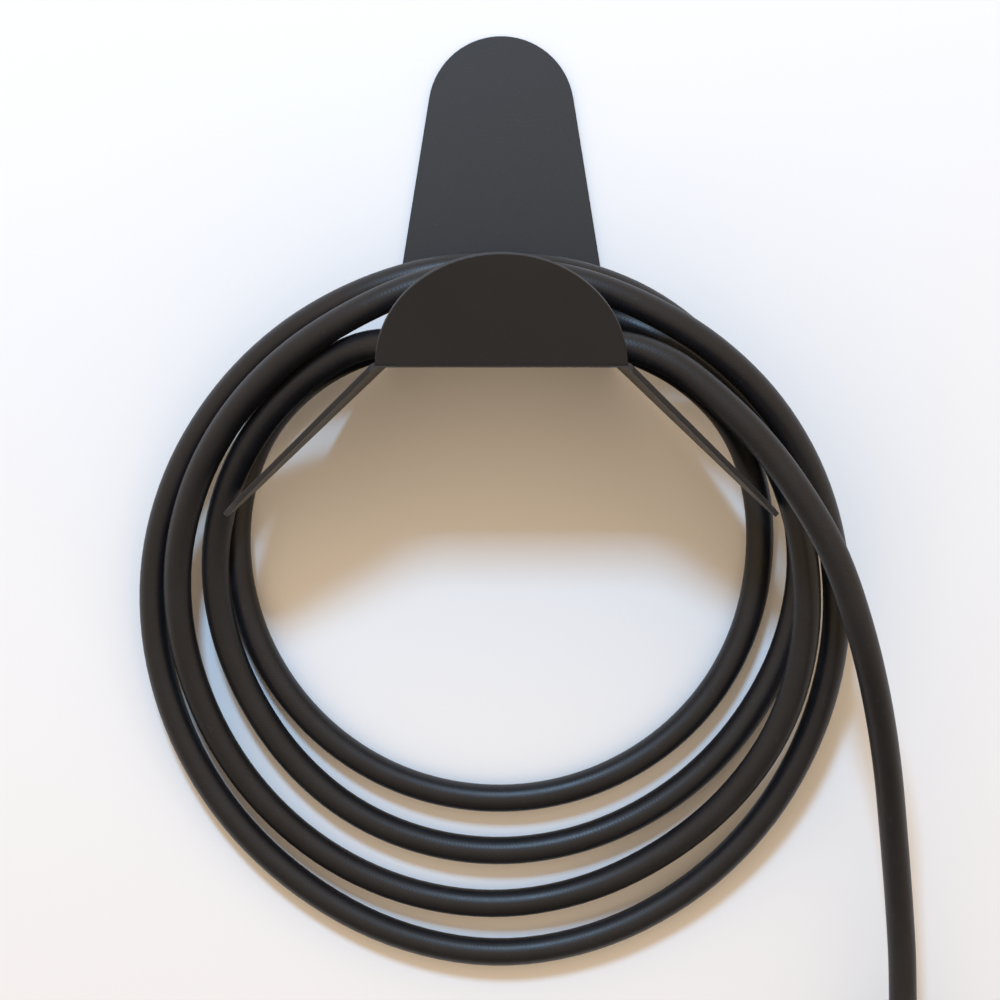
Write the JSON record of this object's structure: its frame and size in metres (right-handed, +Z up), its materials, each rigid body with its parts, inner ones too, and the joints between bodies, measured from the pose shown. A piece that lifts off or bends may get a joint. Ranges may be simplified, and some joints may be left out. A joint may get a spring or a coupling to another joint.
{
  "type": "extension cord on wall holder",
  "caption": "Thick rubber extension cord in loose turns on a folded sheet-metal wall holder, with a blade plug and a covered socket connector.",
  "frame": {"origin": "on the wall's face, midway between the two wall fixings", "axes": "+X to the right, +Y into the wall, +Z up"},
  "size_m": [0.4882, 0.2265, 0.6759],
  "materials": {
    "powder_coat": "satin black powder coat",
    "zinc_steel": "zinc plated",
    "cord_rubber": "matt rubber with a faint wrap imprint",
    "relief_rubber": "matt",
    "housing_plastic": "fine grain",
    "face_plastic": "semi gloss",
    "core_black": "smooth",
    "core_white": "smooth",
    "core_green": "smooth",
    "contact_brass": "plain"
  },
  "bodies": {
    "wall_fixing": {"wall_screws": "zinc_steel"},
    "holder": {"wall_bracket": "powder_coat"},
    "cord": {"cord_coil": "cord_rubber", "cord_lead_in": "cord_rubber", "cord_tail": "cord_rubber", "plug_strain_relief": "relief_rubber", "plug_clamp_upper": "housing_plastic", "plug_clamp_lower": "housing_plastic", "plug_clamp_screws": "zinc_steel", "plug_shell": "housing_plastic", "plug_face": "face_plastic", "plug_shell_screws": "zinc_steel", "plug_terminal_screws": "zinc_steel", "plug_line_core": "core_black", "plug_neutral_core": "core_white", "plug_ground_core": "core_green", "plug_line_blade": "contact_brass", "plug_neutral_blade": "contact_brass", "plug_ground_pin": "contact_brass", "connector_strain_relief": "relief_rubber", "connector_clamp_upper": "housing_plastic", "connector_clamp_lower": "housing_plastic", "connector_clamp_screws": "zinc_steel", "connector_shell": "housing_plastic", "connector_face": "face_plastic", "connector_shell_screws": "zinc_steel", "connector_terminal_screws": "zinc_steel", "connector_line_core": "core_black", "connector_neutral_core": "core_white", "connector_ground_core": "core_green", "connector_line_contact": "contact_brass", "connector_neutral_contact": "contact_brass", "connector_ground_contact": "contact_brass", "cover_hinge_pin": "zinc_steel", "cover_spring": "zinc_steel"},
    "cover": {"cover_lid": "housing_plastic", "cover_gasket": "relief_rubber"}
  },
  "joints": [
    {"name": "holder_unhook", "type": "slide", "parent": "wall_fixing", "child": "holder", "axis": [0, 0, 1], "range_m": [0, 0.01]},
    {"name": "coil_lift_off", "type": "slide", "parent": "holder", "child": "cord", "axis": [0, 0, 1], "range_m": [0, 0.065]},
    {"name": "cover_hinge", "type": "hinge", "parent": "cord", "child": "cover", "pos_m": [0.247, -0.0592, -0.4926], "axis": [-1, 0, 0], "range_deg": [0, 110], "stiffness_Nm_per_rad": 0.02, "springref_deg": -28.65}
  ]
}
